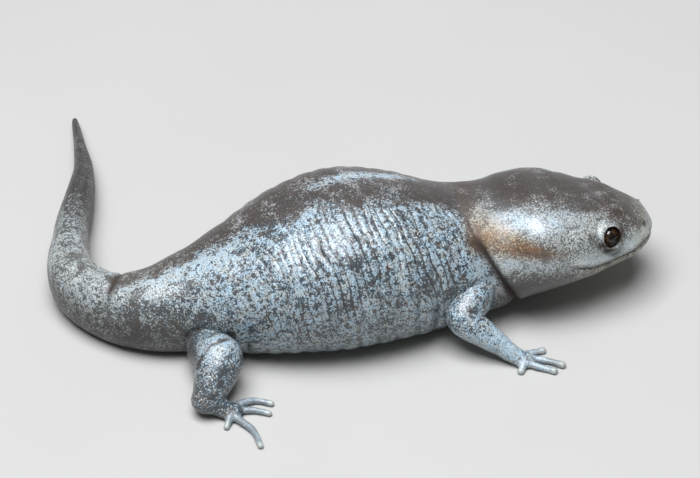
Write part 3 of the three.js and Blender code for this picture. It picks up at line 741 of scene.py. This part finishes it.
# ---------- fine relief and markings
s, aside = nearest(vertices[:, 0], vertices[:, 1])
plain, angle = body_field(s, aside, vertices[:, 2])
limb_near = np.full(len(vertices), np.inf)
digit_near = np.full(len(vertices), np.inf)
for parts in PARTS.values():
    gap, digits = limb_field(vertices, parts)
    limb_near = np.minimum(limb_near, gap)
    digit_near = np.minimum(digit_near, digits)
on_limb = smoothstep(0.2, -0.25, limb_near - plain)
on_digit = smoothstep(0.25, 0.0, digit_near) * on_limb
head_back, head_height = in_head(vertices)
over_mouth = head_height - mouth_height(head_back)
by_face, by_head = s < FACE_REACH, s < HEAD_REACH
on_face = smoothstep(10.4, 9.2, head_back) * by_face

# How far inside the dark band of the back, in degrees round the section.
band_s, band_left, band_right = np.array(BAND).T
turned = np.degrees(angle) % 360
turned = np.where(turned > 300, turned - 360, turned)
inside_band = np.minimum(through(band_s, band_right)(s) - turned, turned - through(band_s, band_left)(s))

# Skin folds between the forelimb and the hind limb: they start below the back, lower on the left side, and
# sweep forward as they go down.
drift = 0.5 * noise(vertices, 3.5) + 0.3 * noise(vertices, 1.6)
round_side = np.abs(turned - 90)
phase = (s + WRINKLE["sweep"] * round_side + drift) / WRINKLE["spacing"]
flank = smoothstep(0, -7, inside_band) * smoothstep(118, 70, round_side)
flank = flank * np.where(aside > 0, smoothstep(62, 78, round_side), 1)
stretch = smoothstep(along("neck"), along("shoulder") + 2, s)
stretch = stretch * smoothstep(along("pelvis"), along("loin") - 1, s)
patchy = smoothstep(-0.75, 0.35, noise(vertices + 50.0, 4.0))
each_line = np.abs(np.sin(12.9 * np.round(phase)))  # some folds are deeper than others
broken = smoothstep(-0.7, 0.2, noise(vertices + 30.0, 2.4))
wrinkle = flank * stretch * (1 - on_limb) * (0.3 + 0.7 * patchy) * (0.4 + 0.6 * each_line)
wrinkle = wrinkle * np.clip(0.6 + 0.4 * broken + 0.4 * bell(inside_band, -14, 10), 0, 1)
valley = 1 - np.abs(np.sin(math.pi * phase))
normal = normals_of(vertices, quads)
relief = -WRINKLE["depth"] * wrinkle * valley**1.5
knee_line = smooth_path(KNEE_FOLD["line"], np.zeros(len(KNEE_FOLD["line"])), STEPS["knee"])
knee_off = rope(vertices, *knee_line)
knee_fold = bell(knee_off, 0, KNEE_FOLD["width"])
relief -= KNEE_FOLD["depth"] * knee_fold
relief += 0.02 * noise(vertices, 0.9) + 0.04 * noise(vertices, 2.6) * (1 - on_limb)
grounded = smoothstep(0.05, 0.5, vertices[:, 2])
vertices = vertices + normal * (relief * grounded * smoothstep(0.0, 0.5, 1 - on_digit))[:, None]
vertices[:, 2] = np.maximum(vertices[:, 2], 0.0)

past_jaws = behind_jaws(head_back, head_height)
on_head = smoothstep(0.8, -0.8, past_jaws) * by_head
on_tail = smoothstep(along("pelvis"), along("tail_root") + 2, s)
tail_end = smoothstep(along("tail_bend") + 2, along("tail_slim"), s)
# The band's edge is ragged, and softer on the head and the neck.
ragged = 9 * noise(vertices, 2.2) + 6 * noise(vertices, 0.9)
blur = 9 + 9 * on_head + 8 * bell(s, along("neck"), 4.5)
dorsal = smoothstep(-blur, blur, inside_band + ragged) * (1 - on_limb) * smoothstep(59, 57.5, s)
dorsal = dorsal * (1 - 0.5 * smoothstep(5.5, 1.5, s))
# The tan cheek rises and widens towards the gular fold. The fold's line and the throat under it are darkened
# as painted shade, and a patch behind the fold is darker and browner.
cheek_tall = np.clip(1.8 + 0.15 * past_jaws, 0.8, 1.7)
cheek = bell(past_jaws, -3.3, 3.4) * bell(head_height, 3.5 + 0.3 * past_jaws, cheek_tall)
cheek = on_head * np.minimum(1.3 * cheek, 1)
throat = by_head * (1 - on_limb)
gular_line = throat * bell(past_jaws, -0.1, 0.45) * gular_reach(head_height)
gular_patch = throat * bell(past_jaws, 0.2, 0.9) * bell(head_height, 2.7, 1.2)
gular_shade = throat * bell(past_jaws, 0.8, 1.6) * smoothstep(-1.5, -3.5, head_height)
jaw_rim = smoothstep(0.1, -0.5, over_mouth) * by_face * smoothstep(10.5, 5, head_back)


def head_spot(back, long, height, tall):
    """A soft mark on the head."""
    return on_head * bell(head_back, back, long) * bell(head_height, height, tall)


def eye_spot(to_back, to_top, spot):
    """A soft mark by an eye."""
    back, top, size, longer, strength = spot
    return strength * bell(np.hypot((to_back - back) / longer, to_top - top), 0, size)


face_shade, lid_highlight, tips = (np.zeros(len(vertices)) for _ in range(3))
# Painted shade in the creases round each eye, round its opening and in each nostril, and a painted highlight
# on the upper lid.
for eye in eyes.values():
    off = vertices - eye["centre"]
    to_back, to_top = off @ eye["wide"], off @ eye["tall"]
    outside = off @ eye["outward"] > 0
    shade_marks = [eye_spot(to_back, to_top, spot) for spot in EYE_CREASE_SHADE]
    shade_marks.append(smoothstep(1.18, 0.95, np.hypot(to_back, to_top)))
    face_shade = np.maximum(face_shade, np.minimum(np.max(shade_marks, axis=0), 1) * outside)
    at_nostril = np.linalg.norm(vertices - eye["nostril"], axis=1)
    face_shade = np.maximum(face_shade, smoothstep(0.42, 0.2, at_nostril))
    lid_highlight = np.maximum(lid_highlight, eye_spot(to_back, to_top, LID_SHINE) * outside)
for parts in PARTS.values():
    for kind, path, _, _ in parts:
        if kind == "digit":
            tips = np.maximum(tips, smoothstep(0.62, 0.3, np.linalg.norm(vertices - path[-1], axis=1)))

blotches = smoothstep(0.25, 0.6, noise(vertices + 20.0, 1.0)) * (1 - dorsal)
lichen = noise(vertices + 70.0, 1.5) + 0.6 * noise(vertices + 90.0, 0.7) - 0.9 * bell(s, along("neck"), 4.5)
# Painted highlights: a pale streak along the crest of the trunk, and one along the pelvis below the band.
# The streak over the upper lip adds pale flecks and carries painted sheen.
crest_highlight = bell(turned, 75 + (s - 31.3), 5) * bell(s, 30, 6.5) * np.clip(0.85 + 0.3 * lichen, 0, 1) * dorsal
pelvis = bell(inside_band, -10, 7) * smoothstep(43, 47, s) * smoothstep(57.5, 54, s) * (aside < 0)
lip = bell(over_mouth, 1.0, 0.8) * smoothstep(11, 8, head_back) * by_face
brow_highlight, jowl = head_spot(*BROW_HIGHLIGHT), head_spot(*JOWL)
neck_side = bell(s, along("neck") - 0.5, 2.2) * (1 - dorsal)
rear_jaw = on_head * smoothstep(-0.2, -2.2, head_height) * smoothstep(8.5, 11.5, head_back)
under = smoothstep(45, 95, round_side) * (1 - on_limb)
bend_top = bell(s, along("tail_bend") - 0.5, 4.5) * smoothstep(60, 30, round_side)
tail_flank = bell(s, 53.5, 3.0) * smoothstep(20, 45, round_side)
# Painted shade in the crease inside the tail's bend.
tail_crease = bell(s, TAIL_FOLDS[0][0] - 0.1, 0.5) * smoothstep(50, 20, round_side)
on_arm = on_limb * (s < along("midriff"))
# A painted highlight on the forearm and on the knee's rim, and painted shade on the shank.
forearm_highlight = on_arm * smoothstep(4.8, 3.4, vertices[:, 2])
on_leg = on_limb - on_arm
shank_shade = on_leg * smoothstep(5.6, 4.0, vertices[:, 2])
knee_rim_highlight = on_leg * bell(knee_off, 0.65, 0.35)
# Painted shade near the floor.
floor_shade = smoothstep(1.4, 0.2, vertices[:, 2]) * (1 - on_digit)


def blend(start, *terms):
    """A start value, plus weight times mark for each term."""
    return start + sum(weight * mark for weight, mark in terms)


# Fewer flecks underneath give the belly's greyer colour and partly painted shade.
share = blend(0.74, (-0.47, dorsal), (0.25, lichen * dorsal), (-0.28, blotches), (-0.1, under), (0.9, crest_highlight))
share = blend(share, (0.35, pelvis), (-0.12, on_tail * under), (-0.2, tail_flank), (-0.1, bend_top))
share = blend(share, (-0.42, tail_end), (0.15, neck_side), (-0.4, gular_patch), (-0.5, rear_jaw))
share = blend(share, (-0.08, on_head), (-0.1, on_head * dorsal), (0.22, lichen * on_head * dorsal))
share = blend(share, (-0.22, cheek), (-0.3, cheek * bell(head_height, 1.7, 0.7)), (0.2, lid_highlight))
share = blend(share, (0.22, brow_highlight), (0.34, lip), (0.2, jowl))
share = blend(share, (-0.12, on_limb), (0.25, forearm_highlight), (-0.22, shank_shade), (0.25, knee_rim_highlight))
cool = blend(1, (-0.8, dorsal), (0.8, crest_highlight), (-0.45, on_tail * under), (-0.6, tail_end), (-0.4, on_head))
cool = blend(cool, (-0.6, cheek), (0.6, brow_highlight), (0.2, lip), (0.3, jowl))
ashy_head = on_head * (1 - dorsal) * (1 - 0.7 * brow_highlight) * (1 - 0.3 * lip) * (1 - 0.5 * jowl)
olive = blend(jaw_rim, (0.6, smoothstep(4.0, 1.0, s) * (1 - dorsal)), (0.25, lip))
# Painted shade: in the gular fold and the throat under it, round the eyes and in the nostrils, in the creases
# of the tail's bend and of the knee, and near the floor. The patch behind the gular fold is darkened too.
painted_shade = gular_line + face_shade + tail_crease
painted_shade = blend(painted_shade, (0.5, gular_patch), (0.5, gular_shade), (0.7, knee_fold), (0.45, floor_shade))
MARKS = {
    "fleck_share": share,
    "cool": np.clip(cool, 0, 1),
    "warm": np.clip(blend(cheek, (0.9, gular_patch), (0.3, gular_shade)), 0, 1),
    "ash": np.clip(blend(0, (0.75, ashy_head), (0.6, on_tail), (0.3, bend_top)), 0, 1),
    "calm": np.clip(blend(on_head, (0.6, on_limb), (0.6, bend_top)), 0, 1),
    "pale": 0.6 * tips,
    # Painted sheen over the upper lip, the brow, the upper lid and the jowl.
    "painted_sheen": np.clip(blend(lip, (0.7, brow_highlight), (0.5, lid_highlight), (0.8, jowl)), 0, 1.5),
    "olive": np.clip(olive, 0, 1),
    "painted_shade": np.clip(painted_shade, 0, 1),
    # Darker towards the tail's end and on the crown, and painted shade under the tail.
    "dark_tone_and_shade": np.clip(blend(tail_end, (0.9, on_tail * under), (0.45, on_head * dorsal)), 0, 1),
    "off_mouth": np.abs(over_mouth) + 4 * (1 - on_face),
    "phase": phase,
    "wrinkle": wrinkle,
    "digit": on_digit,
}


def mesh_object(name, vertices, faces, marks=None):
    """A smooth mesh in metres, with float attributes on its points."""
    mesh = bpy.data.meshes.new(name)
    mesh.from_pydata(vertices * MM, [], faces, shade_flat=False)
    mesh.validate()
    for key, values in (marks or {}).items():
        layer = mesh.attributes.new(key, "FLOAT", "POINT")
        layer.data.foreach_set("value", np.asarray(values, np.float32))
    made = bpy.data.objects.new(name, mesh)
    bpy.context.scene.collection.objects.link(made)
    return made


skin = mesh_object("wet_skin", vertices, quads, MARKS)


# ---------- materials
def colour(code):
    """Linear RGBA of a hex colour."""
    parts = [int(code[i : i + 2], 16) / 255 for i in (0, 2, 4)]
    return tuple(c / 12.92 if c <= 0.04045 else ((c + 0.055) / 1.055) ** 2.4 for c in parts) + (1.0,)


class Nodes:
    """A material's node tree, written as expressions."""

    def __init__(self, name):
        self.material = bpy.data.materials.new(name)
        self.material.use_nodes = True
        self.tree = self.material.node_tree
        self.shader = self.tree.nodes["Principled BSDF"]

    def put(self, value, socket):
        if isinstance(value, bpy.types.NodeSocket):
            self.tree.links.new(value, socket)
        else:
            socket.default_value = value

    def add(self, kind, inputs, **settings):
        node = self.tree.nodes.new(kind)
        for key, value in settings.items():
            setattr(node, key, value)
        for key, value in inputs.items():
            self.put(value, node.inputs[key])
        return node

    def math(self, operation, a, b=0.0, c=0.0, clamp=False):
        return self.add("ShaderNodeMath", {0: a, 1: b, 2: c}, operation=operation, use_clamp=clamp).outputs[0]

    def times(self, a, b):
        return self.math("MULTIPLY", a, b)

    def ramp(self, value, low, high, to_low=0.0, to_high=1.0):
        sockets = {"Value": value, "From Min": low, "From Max": high, "To Min": to_low, "To Max": to_high}
        return self.add("ShaderNodeMapRange", sockets, clamp=True).outputs[0]

    def mix(self, factor, a, b):
        node = self.add("ShaderNodeMix", {}, data_type="RGBA")
        for value, key in ((factor, 0), (a, 6), (b, 7)):
            self.put(value, node.inputs[key])
        return node.outputs[2]

    def mark(self, name):
        return self.add("ShaderNodeAttribute", {}, attribute_name=name).outputs["Fac"]

    def place(self):
        """Object coordinates in millimetres."""
        at = self.add("ShaderNodeTexCoord", {}).outputs["Object"]
        scaled = self.add("ShaderNodeVectorMath", {0: at, "Scale": 1000.0}, operation="SCALE")
        return scaled.outputs[0]

    def noise(self, at, size, detail=2.0, roughness=0.55, distortion=0.0):
        sockets = {"Vector": at, "Scale": 1 / size, "Detail": detail}
        sockets |= {"Roughness": roughness, "Distortion": distortion}
        return self.add("ShaderNodeTexNoise", sockets).outputs["Fac"]

    def bump(self, height, distance, strength, normal=None):
        sockets = {"Height": height, "Distance": distance * MM, "Strength": strength}
        if normal is not None:
            sockets["Normal"] = normal
        return self.add("ShaderNodeBump", sockets).outputs["Normal"]

    def finish(self, **sockets):
        for key, value in sockets.items():
            self.put(value, self.shader.inputs[key.replace("_", " ")])
        return self.material


def skin_material():
    n = Nodes("wet_skin")
    at = n.place()
    fine, grain, patches, tone, clump = (n.noise(at, *settings) for settings in SPECKLE.values())
    cool, warm, ash, dark_tone_and_shade = (n.mark(name) for name in ("cool", "warm", "ash", "dark_tone_and_shade"))
    phase, wrinkle = n.mark("phase"), n.mark("wrinkle")
    wave = n.math("ABSOLUTE", n.math("SINE", n.times(phase, math.pi)))
    valley = n.times(n.ramp(wave, 0.45, 0.0), wrinkle)

    # Pale flecks over a darker ground, thick or thin as the marks and the patches say.
    uneven = n.times(n.math("SUBTRACT", patches, 0.5), FLECK["patches"])
    uneven = n.math("SUBTRACT", uneven, n.times(n.ramp(clump, 0.5, 0.34), FLECK["clumps"]))
    uneven = n.times(uneven, n.ramp(n.mark("calm"), 0.0, 1.0, 1.0, FLECK["calm"]))
    density = n.math("ADD", n.mark("fleck_share"), uneven)
    density = n.math("SUBTRACT", density, n.times(valley, FLECK["folds"]))
    edge = n.math("SUBTRACT", FLECK["edge"], n.times(density, FLECK["grown"]))
    fleck = n.math("MULTIPLY_ADD", n.math("SUBTRACT", fine, edge), FLECK["sharp"], 0.5, clamp=True)

    def layer(look):
        """The colour of the ground or of the flecks, as the marks say."""
        (ashy, ashy_weight), (dusky, dusky_weight) = look["ashy"], look["dusky"]
        made = n.mix(n.ramp(tone, *look["by_tone"]), *map(colour, look["flank"]))
        made = n.mix(cool, colour(look["back"]), made)
        made = n.mix(n.times(ash, ashy_weight), made, colour(ashy))
        made = n.mix(warm, made, n.mix(n.ramp(tone, *TAN_BY_TONE), *map(colour, look["tan"])))
        return n.mix(n.times(dark_tone_and_shade, dusky_weight), made, colour(dusky))

    ground, pale = layer(GROUND), layer(FLECKS)
    pale = n.mix(n.ramp(grain, 0.55, 0.4), pale, n.mix(0.45, pale, ground))
    base = n.mix(fleck, ground, pale)
    # Painted shade in the valleys of the folds.
    base = n.mix(n.times(valley, 0.6), base, colour(VALLEY_SHADE))
    base = n.mix(n.times(n.mark("olive"), 0.6), base, n.mix(fleck, *map(colour, OLIVE)))
    base = n.mix(n.times(n.ramp(grain, 0.6, 0.7), 0.15), base, colour(GLINT))
    for name, most, tint in TINTS:
        base = n.mix(n.times(n.mark(name), most), base, colour(tint))
    # Painted shade along the mouth's groove.
    base = n.mix(n.ramp(n.mark("off_mouth"), 0.16, 0.05, 0.0, 0.85), base, colour(MOUTH_DARK))

    relief = n.math("ADD", n.times(fine, 0.5), n.times(grain, 0.5))
    normal = n.bump(relief, BUMP["grain"], 1.0)
    finer = n.math("ABSOLUTE", n.math("SINE", n.times(phase, 2.3 * math.pi)))
    normal = n.bump(finer, BUMP["fine_fold"], wrinkle, normal)
    normal = n.bump(wave, BUMP["fold"], wrinkle, normal)
    # The brown back and crown, the tail's end and the deep folds are duller than the rest.
    dull = n.math("ADD", n.times(n.mark("painted_shade"), 0.9), n.times(dark_tone_and_shade, 0.35))
    sheen = n.math("SUBTRACT", n.ramp(cool, 0.0, 1.0, 0.7, 1.0), dull, clamp=True)
    rougher = n.times(n.math("SUBTRACT", 1.0, sheen), 0.35)
    return n.finish(
        Base_Color=base,
        Roughness=n.math("ADD", n.ramp(grain, 0.35, 0.65, 0.3, 0.46), rougher),
        Normal=normal,
        Coat_Weight=n.times(n.ramp(warm, 0.0, 1.0, 0.45, 0.2), sheen),
        Coat_Roughness=0.16,
        Coat_Normal=normal,
    )


skin.data.materials.append(skin_material())
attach(skin, "root")
flesh = [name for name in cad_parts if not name.startswith("eye_")]
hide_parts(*flesh)


# ---------- eyes
def eye_material():
    n = Nodes("wet_eye")
    ring = n.mark("polar")
    streaks = n.noise(n.place(), 0.3, 4, 0.75, 0.8)
    iris = n.mix(n.ramp(streaks, 0.48, 0.6), colour("0b0705"), colour("5c4128"))
    base = n.mix(n.ramp(ring, *PUPIL_EDGE), colour("050403"), iris)
    # Painted shade round the eyeball's edge, under the lids.
    base = n.mix(n.ramp(ring, *IRIS_SHADE_EDGE), base, colour("0d0a08"))
    return n.finish(
        Base_Color=base,
        Roughness=0.2,
        Specular_IOR_Level=0.1,
        Coat_Weight=0.8,
        Coat_Roughness=0.03,
    )


def eyeball(name, eye):
    """A ball with a clear bulge in front, in rings round its outward axis."""
    rings, sides = EYE_MESH
    polar = np.repeat(np.linspace(0, math.pi, rings)[1:-1], sides)
    turn = np.tile(np.arange(sides) * 2 * math.pi / sides, rings - 2)
    radius = EYE["radius"] * (EYE_SLIM + EYE_BULGE * smoothstep(0.9, 0.2, polar))
    local = np.stack([np.sin(polar) * np.cos(turn), np.sin(polar) * np.sin(turn), np.cos(polar)], -1)
    local = local * radius[:, None]
    poles = EYE["radius"] * np.array([[0, 0, EYE_SLIM + EYE_BULGE], [0, 0, -EYE_SLIM]])
    local = np.concatenate([local, poles])
    basis = np.stack([eye["wide"], eye["tall"], eye["outward"]])
    spots = eye["centre"] + local @ basis
    grid = np.arange((rings - 2) * sides).reshape(rings - 2, sides)
    after = np.roll(grid, -1, axis=1)
    faces = np.stack([grid[:-1], grid[1:], after[1:], after[:-1]], -1).reshape(-1, 4)
    front, rear = len(local) - 2, len(local) - 1
    caps = [np.stack([np.full(sides, front), grid[0], after[0]], -1)]
    caps.append(np.stack([np.full(sides, rear), after[-1], grid[-1]], -1))
    triangles = np.concatenate([faces[:, [0, 1, 2]], faces[:, [0, 2, 3]], *caps])
    if np.cross(basis[0], basis[1]) @ basis[2] < 0:
        triangles = triangles[:, ::-1]
    return mesh_object(name, spots, triangles, {"polar": np.concatenate([polar, [0, math.pi]])})


wet_eye = eye_material()
for name, eye in eyes.items():
    ball = eyeball(name.replace("eye", "fine_eye"), eye)
    ball.data.materials.append(wet_eye)
    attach(ball, "root")
    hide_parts(name)

# ---------- floor and light
def floor_material():
    n = Nodes("pale_floor")
    base = n.mix(n.noise(n.place(), 40.0, 2), colour("9f9d99"), colour("a5a39f"))
    return n.finish(Base_Color=base, Roughness=0.85)


floor_corners = FLOOR_HALF * np.array([[-1, -1, 0], [1, -1, 0], [1, 1, 0], [-1, 1, 0]])
floor = mesh_object("floor", floor_corners, np.array([[0, 1, 2, 3]]))
floor.data.materials.append(floor_material())


def softbox(name, place, target, size, power, tint):
    """A square lamp that faces a point; place and size in mm, power in watts."""
    lamp = bpy.data.lights.new(name, "AREA")
    lamp.size = size * MM
    lamp.energy = power
    lamp.color = colour(tint)[:3]
    made = bpy.data.objects.new(name, lamp)
    made.location = Vector(place) * MM
    made.rotation_euler = (Vector(target) - Vector(place)).to_track_quat("-Z", "Y").to_euler()
    bpy.context.scene.collection.objects.link(made)


for name, (place, target, size, power, tint) in LAMPS.items():
    softbox(name, place, target, size, power, tint)

world = bpy.data.worlds.new("studio")
bpy.context.scene.world = world
world.use_nodes = True
background = world.node_tree.nodes["Background"]
background.inputs["Color"].default_value = colour(SKY["colour"])
background.inputs["Strength"].default_value = SKY["strength"]
bpy.context.scene.view_settings.view_transform = "Standard"

# ---------- the end
bpy.context.view_layer.update()
